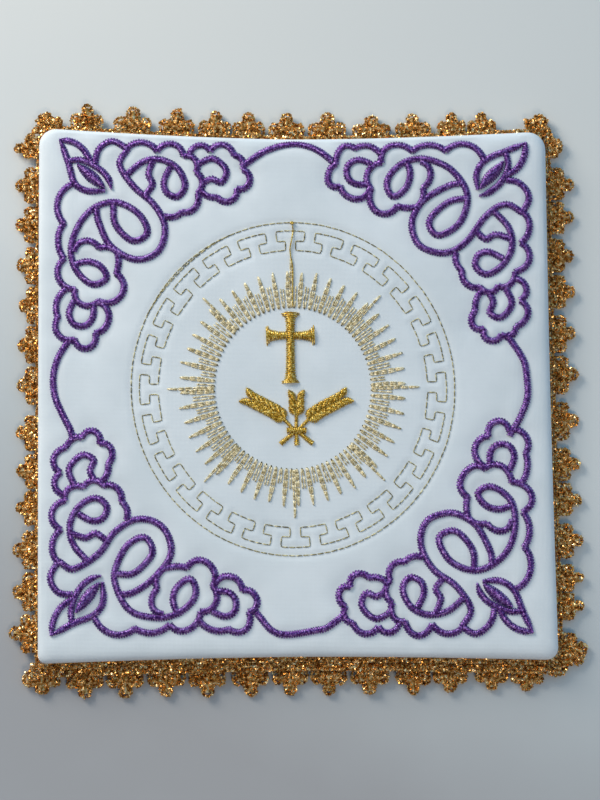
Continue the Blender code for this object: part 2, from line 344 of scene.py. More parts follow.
# where petals meet, and how far the petal that follows stands out to the left of its run
petals = {
    "rosePetals": ((-52.5, 71, 2.6), (-42.5, 70.5, 3.1), (-34, 69, 2.2), (-30, 64, 1.8), (-29.5, 57.5, 2.3),
                   (-34.5, 52, 0.9), (-40, 50.8, 0)),
    "smallPetals": ((-32.1, 69.6, 2.3), (-25.5, 70.5, 2.6), (-17.9, 69.5, 1.5), (-15, 64.9, 3.2),
                    (-17, 58.8, 2.8), (-23.3, 55.9, 0.9), (-28.6, 58.4, 0)),
    "outerLobes": ((-69.3, 60.6, -3.4), (-71.9, 48.6, -2.0), (-72.4, 38.2, -3.6), (-68.8, 28.9, -3.0),
                   (-60.7, 24.9, -5.2), (-55.4, 33.5, -0.5), (-55, 40, 0)),
    "innerRoof": ((-69.2, 40.7, 2.8), (-60.9, 42, 1.0), (-55, 40, 0)),
    "lowerPetals": ((-71.6, 29, -1.5), (-73.6, 20.5, -3.1), (-68.6, 13.8, -3.7), (-61.9, 15.6, -3.9),
                    (-61, 24.6, 0)),
}

leaf = {
    "fill": ((-67.7, 66.3), (-63.5, 63), (-59.2, 59.6)),
    "widths": (0.35, 1.5, 8),
    "rise": 1.2,      # as a share of the other lines' rise
}


def drifted(spot):
    # each place drifts as its neighbours on the list did, the near ones most
    total, weights = Vector((0.0, 0.0)), 0.0
    for x, y, dx, dy in drifts:
        away = (spot.x - x) ** 2 + (spot.y - y) ** 2
        if away < embroidery["driftLimit"] ** 2:
            weight = math.exp(-away / embroidery["driftReach"] ** 2) + embroidery["driftFloor"]
            total += weight * Vector((dx, dy))
            weights += weight
    return spot + total / weights if weights else spot


def placeOnFace(spot):
    (cx, cy), (sx, sy) = embroidery["centre"], embroidery["stretch"]
    return drifted(Vector((cx + sx * spot[0], cy + sy * spot[1])))


def turnToCorner(spot, corner):
    x, y = spot
    for _ in range(corner):
        x, y = y, -x
    shift = embroidery["cornerShifts"][corner]
    return Vector((x + shift[0], y + shift[1]))


def scrollworkLines(corner):
    # the lines of one corner, each with half its width at its start and end
    full = (satin["halfWidth"], satin["halfWidth"])
    charted = [(curveThrough(places), lineEnds.get(name, full)) for name, places in scrolls.items()]
    for places in petals.values():
        for (x0, y0, bulge), (x1, y1, _) in zip(places, places[1:]):
            charted.append((arcBetween((x0, y0), (x1, y1), bulge), full))
    reach = embroidery["arcReaches"][corner]
    charted.append((curveThrough([(x, reach + short) for x, short in sideArc]), full))
    return [([placeOnFace(turnToCorner(spot, corner)) for spot in line], ends) for line, ends in charted]


def leafLine(corner):
    return [placeOnFace(turnToCorner(spot, corner)) for spot in curveThrough(leaf["fill"])]


medallion = {
    "radius": 50.3,
    "tallness": 1.032,
    "shift": 0.2,                      # it was sewn a little off the cross
    "slant": 0.013, "rise": 0.004,     # how far its upright and its level axis lean
    "overlap": (296, 338, 0.55),       # where the circle's end runs beside its start: angles, distance
    "keyUnits": 24,
    "keyOuter": 0.949, "keyMiddle": 0.889, "keyInner": 0.832,
    "cornerCut": 0.32,
    "rays": 96,
    # where the stitches of a ray end, for every other ray
    "rayLevels": ((24.4, 26.7, 29.0, 31.3, 33.6, 35.8, 38.8), (24.4, 25.5, 27.8, 30.1, 32.4, 34.7, 37.0)),
    # from the middle of a ray to its outer passes, along its length
    "rayHalf": ((24.4, 0.2), (26.0, 0.4), (31.4, 0.44)),
    "spikeHalf": ((24.4, 0.2), (26.0, 0.38), (29.5, 0.56), (31.2, 0.52), (33.4, 0.3), (35.8, 0.04)),
    "longHalf": ((24.4, 0.1), (31.0, 0.3), (36.0, 0.2), (39.5, 0.04)),
    # where short rays, spikes and the eight long rays end
    "rayEnds": (28.9, 30.2, 31.1), "spikeEnd": 35.4, "longEnd": 39.4,
    "lastStitch": 0.8,                 # the shortest that a ray ends with
    # where the painted shade of each needle hole runs, from the middle
    "needleHoleShades": (24.2, 24.8),
    # the thread that was carried over from the circle to the top ray: places from the embroidery's centre
    "carried": ((0.3, 50.9), (0.45, 49.0), (0.0, 46.4), (-0.5, 43.8), (-0.35, 41.4), (0.15, 38.8),
                (0.35, 36.0), (0.3, 32.0), (0.25, 28.5), (0.3, 25.6)),
    "knot": (0.1, 51.7),
}


def medallionPlace(angle, share):
    # angle clockwise from the far side, in degrees; share of the circle's radius
    turn = math.radians(angle)
    r = medallion["radius"] * share
    x, y = r * math.sin(turn), r * medallion["tallness"] * math.cos(turn)
    across = x + medallion["shift"] - medallion["slant"] * y
    return Vector(embroidery["centre"]) + Vector((across, y + medallion["rise"] * x))


def keyLines():
    # the key band, corner by corner, each pitch out, in and back on itself
    outer, middle, inner = medallion["keyOuter"], medallion["keyMiddle"], medallion["keyInner"]
    unitTurns = ((-0.365, outer), (0.365, outer), (0.365, middle), (0.14, middle),
                 (0.14, inner), (0.86, inner), (0.86, middle), (0.635, middle))
    pitch = 360 / medallion["keyUnits"]
    turns = [((unit + along) * pitch, share) for unit in range(medallion["keyUnits"])
             for along, share in unitTurns]
    turns.append(turns[0])
    legs = []
    for (a0, s0), (a1, s1) in zip(turns, turns[1:]):
        if a1 < a0 - 180:
            a1 += 360
        steps = max(4, round(abs(a1 - a0)))
        legs.append([medallionPlace(a0 + (a1 - a0) * k / steps, s0 + (s1 - s0) * k / steps)
                     for k in range(steps + 1)])
    # a short stitch cuts each corner
    lines = []
    cutOff = medallion["cornerCut"]
    for leg in legs:
        start, end = (leg[1] - leg[0]).normalized(), (leg[-2] - leg[-1]).normalized()
        lines.append([leg[0] + start * cutOff] + leg[1:-1] + [leg[-1] + end * cutOff])
    corners = [[a[-1], b[0]] for a, b in zip(lines, lines[1:] + lines[:1])]
    return lines + corners


def circleLines():
    first, last, beside = medallion["overlap"]
    whole = [medallionPlace(a, 1.0) for a in range(361)]
    end = []
    for a in range(first, last + 1):
        away = beside * math.sin(math.pi * (a - first) / (last - first))
        end.append(medallionPlace(a, 1.0 - away / medallion["radius"]))
    return [whole, end]


satinLines = [line for corner in range(4) for line, _ in scrollworkLines(corner)]
runLines = keyLines() + circleLines()


def stitchTree(lines):
    spots = [spot for line in lines for _, spot, _ in evenPlaces(line, cover["stitchSpacing"])]
    tree = kdtree.KDTree(len(spots))
    for index, spot in enumerate(spots):
        tree.insert((spot.x, spot.y, 0.0), index)
    tree.balance()
    return tree


satinTree = stitchTree(satinLines)
runTree = stitchTree(runLines)


def loopSides():
    # for each spot of the satin tree, which way the line bends there, and by how much
    sides = []
    for line in satinLines:
        places = evenPlaces(line, cover["stitchSpacing"])
        for index in range(len(places)):
            before, after = max(index - 2, 0), min(index + 2, len(places) - 1)
            sides.append(places[after][2] - places[before][2])
    return sides


class PuffMap:
    # how much the padding stands above or below its bare height, worked out on a grid and evened out
    step = 0.75
    half = 120       # steps from the middle to each side of the grid

    def __init__(self):
        count = 2 * self.half + 1
        sides = loopSides()
        rows = []
        for j in range(count):
            row = []
            for i in range(count):
                x, y = (i - self.half) * self.step, (j - self.half) * self.step
                spot, index, away = satinTree.find((x, y, 0.0))
                side = sides[index]
                tilt = 0.0
                if away < cover["puffLimit"]:
                    inwards = side.x * (x - spot.x) + side.y * (y - spot.y)
                    tilt = math.tanh(inwards * cover["puffSteepness"])
                    tilt *= math.exp(-(away / cover["puffReach"]) ** 2)
                row.append(tilt * cover["puff"] / 2)
            rows.append(row)
        for _ in range(3):
            rows = self.evened(rows)
        self.rows = rows

    def evened(self, rows):
        last = len(rows) - 1
        across = [[(row[max(i - 1, 0)] + row[i] + row[min(i + 1, last)]) / 3 for i in range(last + 1)]
                  for row in rows]
        return [[(a + b + c) / 3
                 for a, b, c in zip(across[max(j - 1, 0)], across[j], across[min(j + 1, last)])]
                for j in range(last + 1)]

    def at(self, x, y):
        u, v = x / self.step + self.half, y / self.step + self.half
        i, j = min(max(int(u), 0), 2 * self.half - 1), min(max(int(v), 0), 2 * self.half - 1)
        u, v = u - i, v - j
        low = self.rows[j][i] * (1 - u) + self.rows[j][i + 1] * u
        high = self.rows[j + 1][i] * (1 - u) + self.rows[j + 1][i + 1] * u
        return low * (1 - v) + high * v


puffMap = PuffMap()


def clothHeight(x, y):
    # stitching draws the padding down along its line, and the cloth stands up softly between
    height = bareHeight(x, y) + puffMap.at(x, y)
    away = satinTree.find((x, y, 0.0))[2] / cover["satinPullReach"]
    height -= cover["satinPull"] * math.exp(-away * away)
    away = runTree.find((x, y, 0.0))[2] / cover["runPullReach"]
    return height - cover["runPull"] * math.exp(-away * away)


def onCloth(spot, lift):
    return Vector((spot.x, spot.y, clothHeight(spot.x, spot.y) + lift))


print("lines charted:", len(satinLines), "satin,", len(runLines), "running")


def cottonMaterial():
    # white cotton sateen, bleached: matt, with a faint thread texture and a soft cool shade
    material, tree, shader, places = startMaterial("whiteCottonSateen", {
        "Roughness": 0.85, "Sheen Weight": 0.25, "Sheen Roughness": 0.5, "Specular IOR Level": 0.25})
    clouds = addNode(tree, "ShaderNodeTexNoise", {"Scale": 60.0, "Detail": 3.0}, {"Vector": places})
    tint = addNode(tree, "ShaderNodeValToRGB", None, {"Fac": clouds.outputs["Fac"]})
    setStops(tint, ((0.3, "#D5DEE9"), (0.7, "#E0E8F3")))
    tree.links.new(tint.outputs["Color"], shader.inputs["Base Color"])
    # threads run at 0.4 mm, about double the real spacing, so that they show
    thread = {"Scale": 780.0, "Distortion": 1.5, "Detail": 2.0}
    warp, weft = [addNode(tree, "ShaderNodeTexWave", {**thread, "bands_direction": way}, {"Vector": places})
                  for way in ("X", "Y")]
    slub = addNode(tree, "ShaderNodeTexNoise", {"Scale": 900.0, "Detail": 3.0}, {"Vector": places})
    weave = addNode(tree, "ShaderNodeMath", {"operation": "ADD"},
                    {0: warp.outputs["Fac"], 1: weft.outputs["Fac"]})
    cloth = addNode(tree, "ShaderNodeMath", {"operation": "ADD"},
                    {0: weave.outputs[0], 1: slub.outputs["Fac"]})
    bump = addNode(tree, "ShaderNodeBump", {"Strength": 0.22, "Distance": 0.00008},
                   {"Height": cloth.outputs[0]})
    tree.links.new(bump.outputs["Normal"], shader.inputs["Normal"])
    return material


def threadMaterial(name, stops, settings, grain):
    # twisted or spun thread: its tone changes every half millimetre or so, partly at random and partly as
    # painted glints and painted shade between the filaments
    material, tree, shader, places = startMaterial(name, settings)
    tone = addNode(tree, "ShaderNodeTexNoise", {"Scale": grain, "Detail": 2.0, "Roughness": 0.6},
                   {"Vector": places})
    colours = addNode(tree, "ShaderNodeValToRGB", None, {"Fac": tone.outputs["Fac"]})
    setStops(colours, stops)
    tree.links.new(colours.outputs["Color"], shader.inputs["Base Color"])
    filaments = addNode(tree, "ShaderNodeTexNoise", {"Scale": 3500.0, "Detail": 1.0}, {"Vector": places})
    bump = addNode(tree, "ShaderNodeBump", {"Strength": 0.25, "Distance": 0.00006},
                   {"Height": filaments.outputs["Fac"]})
    tree.links.new(bump.outputs["Normal"], shader.inputs["Normal"])
    return material


cotton = cottonMaterial()
# rayon filament, dyed and very bright, so it is set close to a metal
# its darkest tones are painted shade and its palest painted highlights, mixed with tone that varies at
# random
purpleThread = threadMaterial("purpleRayonThread", ((0.36, "#4A2268"), (0.5, "#7E4EA6"), (0.64, "#BC98DE")),
                              {"Roughness": 0.4, "Metallic": 0.9}, 1500.0)
# metallic gold thread: its darkest tones are painted shade and its palest painted glints
goldThread = threadMaterial("goldMetallicThread", ((0.36, "#8E6410"), (0.5, "#D6AC36"), (0.64, "#FCE896")),
                            {"Roughness": 0.3, "Metallic": 0.6}, 1900.0)
# pale gold thread: its darkest tones are painted shade and its palest painted highlights
paleThread = threadMaterial("paleGoldThread", ((0.36, "#9A8A62"), (0.5, "#DCCDA4"), (0.64, "#FFF6DC")),
                            {"Roughness": 0.4, "Metallic": 0.15}, 1900.0)
# painted shade: a dark strand stands in for the shade seen in a needle hole
paintedHoleShade = threadMaterial("shadeInNeedleHoles", ((0.36, "#4A4434"), (0.64, "#6E664E")),
                             {"Roughness": 0.9}, 900.0)
# the pale thread laid singly, set darker than the sunburst's: painted shade round the single thread, where
# the cloth's shade shows past it
shadedPaleThread = threadMaterial("paleGoldThreadSinglePaintedShade",
                             ((0.38, "#645C3C"), (0.5, "#A29668"), (0.64, "#E2D8AC")),
                             {"Roughness": 0.45, "Metallic": 0.15}, 900.0)
# lurex: a flat metallised strip that glints, wound on a brown core; its darkest tones are painted shade
# between the loops and its palest painted glints
goldYarn = threadMaterial("goldLurexYarn", ((0.34, "#7E4816"), (0.5, "#DCA24E"), (0.66, "#FFEABE")),
                          {"Roughness": 0.27, "Metallic": 0.85, "Coat Weight": 0.2, "Coat Roughness": 0.3},
                          900.0)


def strandPiece(name, strands, radius, material, smooth=True):
    # many short threads as one piece, each a row of places and thicknesses, with four faces round
    curve = bpy.data.curves.new(name, "CURVE")
    curve.dimensions = "3D"
    curve.bevel_depth = radius * mm
    curve.bevel_resolution = 0
    curve.use_fill_caps = True
    for strand in strands:
        spline = curve.splines.new("POLY")
        spline.points.add(len(strand) - 1)
        spline.use_smooth = smooth
        for point, (spot, thickness) in zip(spline.points, strand):
            point.co = (spot.x * mm, spot.y * mm, spot.z * mm, 1.0)
            point.radius = thickness
    curve.materials.append(material)
    obj = addObject(name, curve)
    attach(obj, "root")
    return obj


def makeCover():
    # a grid drawn out to the outline, so that its lines run on over the rounded edge
    bm = bmesh.new()
    cells = cover["gridCells"]
    bmesh.ops.create_grid(bm, x_segments=cells, y_segments=cells, size=1.0)
    faceShare = 1 - cover["edgeInset"] / halfWidth
    for vert in bm.verts:
        u, v = vert.co.x, vert.co.y
        share = max(abs(u), abs(v)) * faceShare
        angle = math.atan2(v, u)
        reach = outlineRadius(angle) * share
        x, y = reach * math.cos(angle), reach * math.sin(angle)
        vert.co = (x * mm, y * mm, clothHeight(x, y) * mm)
    # the rounded edge: rings that go out and down the section, then in under the rim
    edgeRings = [(i, h) for i, h in reversed(topCurve[::3]) if i < cover["edgeInset"] - 0.15]
    edgeRings += sideCurve[2::2]
    rim = [e for e in bm.edges if e.is_boundary]
    for inset, height in edgeRings:
        grown = bmesh.ops.extrude_edge_only(bm, edges=rim)["geom"]
        rim = [g for g in grown if isinstance(g, bmesh.types.BMEdge) and g.is_boundary]
        for vert in (g for g in grown if isinstance(g, bmesh.types.BMVert)):
            angle = math.atan2(vert.co.y, vert.co.x)
            reach = outlineRadius(angle) * (1 - inset / halfWidth)
            vert.co = (reach * math.cos(angle) * mm, reach * math.sin(angle) * mm, height * mm)
    bmesh.ops.holes_fill(bm, edges=rim, sides=0)
    bmesh.ops.recalc_face_normals(bm, faces=bm.faces)
    mesh = bpy.data.meshes.new("coverCloth")
    bm.to_mesh(mesh)
    bm.free()
    mesh.shade_smooth()
    mesh.materials.append(cotton)
    obj = addObject("coverCloth", mesh)
    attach(obj, "root")
    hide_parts("cover")
    return obj


makeCover()
print("cover made")


def satinStitches(line, widths, rise, pitch, chance, smoothing=0.7, lean=None, roll=0.0):
    # threads from side to side that lean against each other, over a padding thread
    lean = satin["lean"] if lean is None else lean
    strands = []
    places = evenPlaces(line, pitch, smoothing)
    for index, (t, spot, along) in enumerate(places):
        across = Vector((-along.y, along.x))
        reach = readTable(widths, t)
        turn = 1 if index % 2 else -1
        strand = []
        ends = [reach + chance.uniform(-1, 1) * satin["edgeJitter"] + satin["tooth"] * way
                for way in (turn, -turn)]
        before, after = places[max(index - 3, 0)][2], places[min(index + 3, len(places) - 1)][2]
        bend = max(-1.0, min(1.0, satin["tightBend"] * before.cross(after)))
        for side, lift in satin["arch"]:
            place = spot + across * side * ends[side > 0] + along * side * turn * lean
            rolled = roll * bend * side if abs(side) < 1 else 0.0
            strand.append((onCloth(place, lift * rise + rolled), 1.0))
        strands.append(strand)
    return strands


def paddingThread(line, widths, rise):
    # its middle lies low, so that only its back fills the gaps between the stitches
    places = evenPlaces(line, 1.0, 0.6)
    strand = []
    for t, spot, _ in places:
        radius = min(satin["padding"], readTable(widths, t) * satin["paddingShare"])
        strand.append((onCloth(spot, rise * satin["paddingTop"] - radius), radius / satin["threadRadius"]))
    return [strand]


def almondWidths(ends, swell, steps):
    # half widths of a shape that swells between its two ends
    return [(k / steps, ends + swell * math.sin(math.pi * k / steps) ** 0.8) for k in range(steps + 1)]


def makeScrollwork():
    names = ("farLeft", "farRight", "nearRight", "nearLeft")
    for corner, name in enumerate(names):
        chance = random.Random(20 + corner)
        strands = []
        for line, (first, last) in scrollworkLines(corner):
            full = satin["halfWidth"]
            widths = ((0.0, first), (0.15, full), (0.85, full), (1.0, last))
            strands += satinStitches(line, widths, satin["rise"], satin["pitch"], chance, roll=satin["roll"])
            strands += paddingThread(line, widths, satin["rise"])
        line, widths, rise = leafLine(corner), almondWidths(*leaf["widths"]), satin["rise"] * leaf["rise"]
        strands += satinStitches(line, widths, rise, satin["pitch"], chance)
        strands += paddingThread(line, widths, rise)
        strandPiece(name + "Scrollwork", strands, satin["threadRadius"], purpleThread)


makeScrollwork()
print("scrollwork stitched")

running = {
    "stitch": 2.2,
    "threadRadius": 0.165, "lift": 0.19,
    "rayRadius": 0.24, "rayLift": 0.24,
    "holeShadeRadius": 0.2,
    "carriedRadius": 0.2, "carriedLift": 0.4,
    # where a stitch starts and where it lies level, in shares of its length; its ends' level and thickness
    "gap": 0.03, "shoulder": 0.18, "depth": -0.1, "endThickness": 0.7,
    # how far places stray: on a line, along a ray, across a ray
    "waver": 0.06, "rayWaver": 0.2, "passWaver": 0.05,
}


def runStitch(start, end, lift):
    # the thread dives into the cloth at both ends
    gap = (end - start) * running["gap"]
    depth, thickness, shoulder = running["depth"], running["endThickness"], running["shoulder"]
    return [(onCloth(start + gap, depth), thickness), (onCloth(start.lerp(end, shoulder), lift), 1.0),
            (onCloth(start.lerp(end, 1 - shoulder), lift), 1.0), (onCloth(end - gap, depth), thickness)]


def runStitches(line, length, chance, lift):
    waver = running["waver"]
    spots = [spot + Vector((chance.uniform(-waver, waver), chance.uniform(-waver, waver)))
             for _, spot, _ in evenPlaces(line, length)]
    return [runStitch(a, b, lift) for a, b in zip(spots, spots[1:])]


def rayStitches(angle, end, halves, levels, sides, chance):
    # passes side by side, whose stitches end on the same levels
    waver, passWaver = running["rayWaver"], running["passWaver"]
    strands = []
    levels = [level for level in levels if level < end - medallion["lastStitch"]] + [end]
    for side in sides:
        spots = []
        for level in levels:
            reach = level + chance.uniform(-waver, waver)
            offset = side * readTable(halves, level) + chance.uniform(-passWaver, passWaver)
            spots.append(medallionPlace(angle + math.degrees(offset / level), reach / medallion["radius"]))
        strands += [runStitch(a, b, running["rayLift"]) for a, b in zip(spots, spots[1:])]
    return strands


def makeKeyBand(chance):
    strands = []
    for line in runLines:
        strands += runStitches(line, running["stitch"], chance, running["lift"])
    strandPiece("keyBand", strands, running["threadRadius"], shadedPaleThread)


def makeSunburst(chance):
    strands, holeShades = [], []
    for ray in range(medallion["rays"]):
        angle = (ray + 0.5) * 360 / medallion["rays"]
        levels = medallion["rayLevels"][ray % 2]
        if ray % 2 == 1:
            end = medallion["spikeEnd"] + chance.uniform(-0.5, 0.4)
            strands += rayStitches(angle, end, medallion["spikeHalf"], levels, (-1, 0, 1), chance)
        else:
            end = chance.choice(medallion["rayEnds"]) + chance.uniform(-0.4, 0.4)
            strands += rayStitches(angle, end, medallion["rayHalf"], levels, (-1, 1), chance)
        # painted shade: a dark strand where the stitches of a ray pull a needle hole open
        spots = [medallionPlace(angle, reach / medallion["radius"]) for reach in medallion["needleHoleShades"]]
        holeShades.append(runStitch(*spots, running["lift"]))
    levels = medallion["rayLevels"][0]
    for ray in range(8):
        end = medallion["longEnd"] + chance.uniform(-0.3, 0.3)
        strands += rayStitches(45 * ray, end, medallion["longHalf"], levels, (-1, 1), chance)
    strandPiece("sunburst", strands, running["rayRadius"], paleThread)
    strandPiece("needleHoleShades", holeShades, running["holeShadeRadius"], paintedHoleShade)


def makeCarriedThread():
    centre = Vector(embroidery["centre"])
    lift = running["carriedLift"]
    carried = [(onCloth(centre + spot, lift), 1.0) for spot in curveThrough(medallion["carried"], 5)]
    # the knot where it starts winds up over two turns
    middle = centre + Vector(medallion["knot"])
    knot = [(onCloth(middle + Vector((0.4 * math.cos(turn), 0.35 * math.sin(turn))), 0.3 + 0.05 * turn), 1.3)
            for turn in range(14)]
    strandPiece("carriedThread", [carried, knot], running["carriedRadius"], goldThread)


medallionChance = random.Random(5)
makeKeyBand(medallionChance)
makeSunburst(medallionChance)
makeCarriedThread()
print("medallion stitched")

gold = {
    "pitch": 0.3, "threadRadius": 0.18,
    "lean": 0.12, "smoothing": 0.2,
    "rise": 1.05, "armRise": 0.9,      # the arms' as a share of the upright's
    # the upright of the cross, from its foot up: share of its length, half its width
    "upright": ((0.0, 2.75), (0.02, 2.7), (0.045, 1.9), (0.15, 1.5), (0.45, 1.3), (0.85, 1.35), (0.93, 1.7),
                (0.965, 2.75), (0.985, 2.9), (1.0, 1.9)),
    # an arm, from its tip in
    "arm": ((0.0, 2.9), (0.05, 3.2), (0.13, 2.2), (0.3, 1.7), (0.6, 1.3), (1.0, 1.2)),
    "foot": (-0.5, 1.7), "head": (-0.5, 23.6),
    "leftTip": (-7.9, 16.4), "leftRoot": (-1.6, 16.4),
    "rightTip": (6.9, 16.4), "rightRoot": (0.6, 16.4),
}


def goldSatin(line, widths, rise, chance):
    stitches = satinStitches(line, widths, rise, gold["pitch"], chance, gold["smoothing"], gold["lean"])
    return stitches + paddingThread(line, widths, rise)


def goldBar(start, end, widths, rise, chance):
    centre = Vector(embroidery["centre"])
    line = [centre + Vector(start), centre + Vector(end)]
    return goldSatin(line, widths, rise, chance)


def makeCross():
    chance = random.Random(9)
    strands = goldBar(gold["foot"], gold["head"], gold["upright"], gold["rise"], chance)
    for side in ("left", "right"):
        tip, root, rise = gold[side + "Tip"], gold[side + "Root"], gold["rise"] * gold["armRise"]
        strands += goldBar(tip, root, gold["arm"], rise, chance)
    strandPiece("goldCross", strands, gold["threadRadius"], goldThread)


makeCross()

sheaf = {
    # each ear: foot, a place on its way, tip
    "ears": (((0.1, -12.5), (-4.6, -8.0), (-12.4, -3.6)), ((1.2, -12.5), (1.3, -8.0), (1.3, -4.0)),
             ((2.3, -12.5), (7.2, -8.0), (15.0, -3.6))),
    "grainLength": 3.3, "grainWidths": (0.15, 1.0, 6), "grainRise": 0.85,
    "lastGrain": 1.15,       # length of the grains at the tip, as a share of the others'
    "grainSpread": 30, "grainRoot": 0.45,    # how far a grain stands away from the ear, degrees and distance
    "grainPitch": 2.0,
    "bareStem": 3.4,
    "band": ((-1.6, -13.2), (4.2, -13.2), 0.95),
    "stems": ((-3.6, -17.2), (1.3, -17.6), (6.2, -17.2)),
}


def makeSheaf():
    chance = random.Random(13)
    strands = []
    widths, rise = almondWidths(*sheaf["grainWidths"]), gold["rise"] * sheaf["grainRise"]
    centre = Vector(embroidery["centre"])
    for ear in sheaf["ears"]:
        spine = [centre + spot for spot in curveThrough(ear)]
        strands += goldSatin(spine, ((0, 0.5),), 0.5, chance)
        total = runningLengths(spine)[-1]
        for t, spot, along in evenPlaces(spine, sheaf["grainPitch"]):
            if t * total < sheaf["bareStem"]:
                continue
            length = sheaf["grainLength"] * (sheaf["lastGrain"] if t == 1 else 1)
            for side in (-1, 1):
                heading = Matrix.Rotation(side * math.radians(sheaf["grainSpread"]), 2) @ along
                root = spot + Matrix.Rotation(side * math.radians(90), 2) @ along * sheaf["grainRoot"]
                strands += goldSatin([root, root + heading * length], widths, rise, chance)
    start, end, halfBand = sheaf["band"]
    strands += goldBar(start, end, ((0, halfBand),), gold["rise"], chance)
    middle = (Vector(start) + Vector(end)) / 2
    for foot in sheaf["stems"]:
        strands += goldBar(middle.lerp(Vector(foot), 0.15), foot, ((0, 0.55), (1, 0.75)), 0.6, chance)
    strandPiece("goldSheaf", strands, gold["threadRadius"], goldThread)


makeSheaf()
print("gold satin stitched")

trim = {
    # run: whether its places are x (0) or y (1), width of the heading, how far the scallops reach past the
    # cloth at places along the run, place of each scallop's tip
    "runs": (
        ("near", 0, 4.3, ((-85.0, 8.6), (-65.0, 11.0), (-10.0, 12.0), (35.0, 11.6), (62.0, 9.6)),
         (-79.0, -65.5, -53.0, -40.0, -27.5, -14.0, -1.5, 10.5, 23.5, 37.0, 48.5, 61.5, 72.5)),
        ("right", 1, 2.0, ((-80.0, 8.6), (10.0, 8.6), (33.0, 8.0), (68.0, 9.0), (78.0, 5.2)),
         (-79.0, -66.0, -57.0, -45.5, -32.5, -21.5, -8.0, 6.5, 19.5, 33.0, 44.5, 56.5, 67.5, 78.5)),
        ("far", 0, 1.5, ((-76.5, 5.8), (-68.0, 8.9), (10.0, 8.8), (25.0, 7.6), (60.0, 7.4), (76.5, 6.4)),
         (76.5, 60.0, 50.5, 38.5, 25.0, 11.0, -2.0, -14.0, -25.0, -37.0, -51.0, -65.5, -76.5)),
        ("left", 1, 1.1, ((-73.0, 9.0), (-60.0, 8.0), (-30.0, 6.6), (30.0, 6.0), (55.0, 7.2), (80.0, 7.8)),
         (79.5, 67.5, 55.0, 42.0, 29.5, 17.0, 4.0, -11.0, -23.0, -34.5, -47.5, -60.5, -73.5)),
    ),
    "startOverhang": 7.5,
    "seed": 7,
    "reachWaver": 0.3, "leanWaver": 0.4,
    # one scallop as charted, on this pitch and height: each lobe's place along and out, its radius, and
    # between which angles its edge runs
    "pitch": 12.6, "height": 7.3, "widestPitch": 12.8,
    "lobes": ((-3.9, 2.2, 2.0, 205, 60), (0.0, 5.25, 2.1, 200, -20), (3.9, 2.2, 2.0, 120, -25)),
    "inset": 0.36,
    "proud": 0.6,           # how far the yarn's fuzz stands out past the scallop's solid form
    "yarnRadius": 0.26,
    "knotRadius": 0.48,
    "knotSpacing": 0.88, "knotScatter": 0.14, "knotSizes": (0.9, 1.12),
    "widestGap": 0.8,       # how far loops may spread apart before others fill in beside them
    # thick yarn under the loops of a scallop: places on its pitch and height, radius
    "core": (((-4.1, 1.7), (-2.2, 2.6), (0.0, 2.8), (2.2, 2.6), (4.1, 1.7)),
             ((0.0, 0.4), (0.0, 3.2), (0.0, 5.9))),
    "coreRadius": 1.2, "coreLevel": 1.25,
    # rows of the heading: how far out in shares of its width, how much higher they stand
    "wideHeading": ((0.06, 2.5), (0.28, 2.3), (0.5, 1.3), (0.7, 1.3), (0.92, 1.5)),
    "narrowHeading": ((0.2, 0.6), (0.75, 0.3)),
    "startSlant": 3.4,      # how much further in the trim starts at the cloth than at its outer rows
    "endReach": 4.0,        # how far the heading's end runs on past the last corner, under the start
    "level": 1.95, "lowest": 0.7,
    "droop": (3, 0.1),      # from so far out the scallops hang, by so much a millimetre
    "wave": 0.25,
}


class SewingLine:
    # the line that the trim follows round the rim, read by the length along it

    def __init__(self):
        first = outlineArcs[0][-1]
        overhang = (first - outlineArcs[1][0]).normalized() * trim["startOverhang"]
        self.points = [first + overhang, first]
        last = (outlineArcs[0][0] - outlineArcs[3][-1]).normalized() * trim["endReach"]
        self.stations = [0.0]
        for index, side in enumerate(outlineSides):
            self.points += side
            following = outlineArcs[(index + 1) % 4]
            if index < 3:
                middle = len(self.points) + len(following) // 2
                self.points += following
                self.stations.append(runningLengths(self.points[:middle + 1])[-1])
            else:
                self.points += [following[0], following[0] + last]
        self.lengths = runningLengths(self.points)
        self.stations.append(self.lengths[-1])
        self.normals = []
        final = len(self.points) - 1
        for index in range(final + 1):
            along = (self.points[min(index + 1, final)] - self.points[max(index - 1, 0)]).normalized()
            self.normals.append(Vector((along.y, -along.x)))

    def stationOf(self, run, axis, place):
        # how far along the line one run comes to that x or y
        for index in range(1, len(self.points)):
            here, there = self.points[index - 1][axis], self.points[index][axis]
            before, after = self.lengths[index - 1], self.lengths[index]
            inside = self.stations[run] <= after and before <= self.stations[run + 1]
            if inside and min(here, there) <= place <= max(here, there):
                return before + (after - before) * (place - here) / (there - here)
        raise ValueError("no such place on the run")

    def place(self, length, out):
        low, share = findStep(self.lengths, min(max(length, 0.0), self.lengths[-1]))
        normal = self.normals[low].lerp(self.normals[low + 1], share).normalized()
        return self.points[low].lerp(self.points[low + 1], share) + normal * out


def trimLift(place):
    angle = math.atan2(place.y, place.x)
    return trim["wave"] * (math.sin(9 * angle) + 0.6 * math.sin(23 * angle + 1.0))


def yarnKnot(middle, size, chance):
    # one crocheted loop: yarn that curls in on itself, tilted its own way
    radius = trim["knotRadius"] * size
    tilt = Matrix.Rotation(chance.uniform(-0.8, 0.8), 3, "X")
    tilt = tilt @ Matrix.Rotation(chance.uniform(-0.8, 0.8), 3, "Y")
    first = chance.uniform(0, math.tau)
    wobble = chance.uniform(0.12, 0.35)
    steps = 8
    strand = []
    for step in range(steps + 1):
        turn = first + step / steps * math.tau * 1.25
        reach = radius * (1 - 0.62 * step / steps)
        spot = Vector((reach * math.cos(turn), reach * math.sin(turn), wobble * math.sin(2 * turn + first)))
        strand.append((middle + tilt @ spot, 1.0 + 0.2 * math.sin(5 * turn)))
    return strand


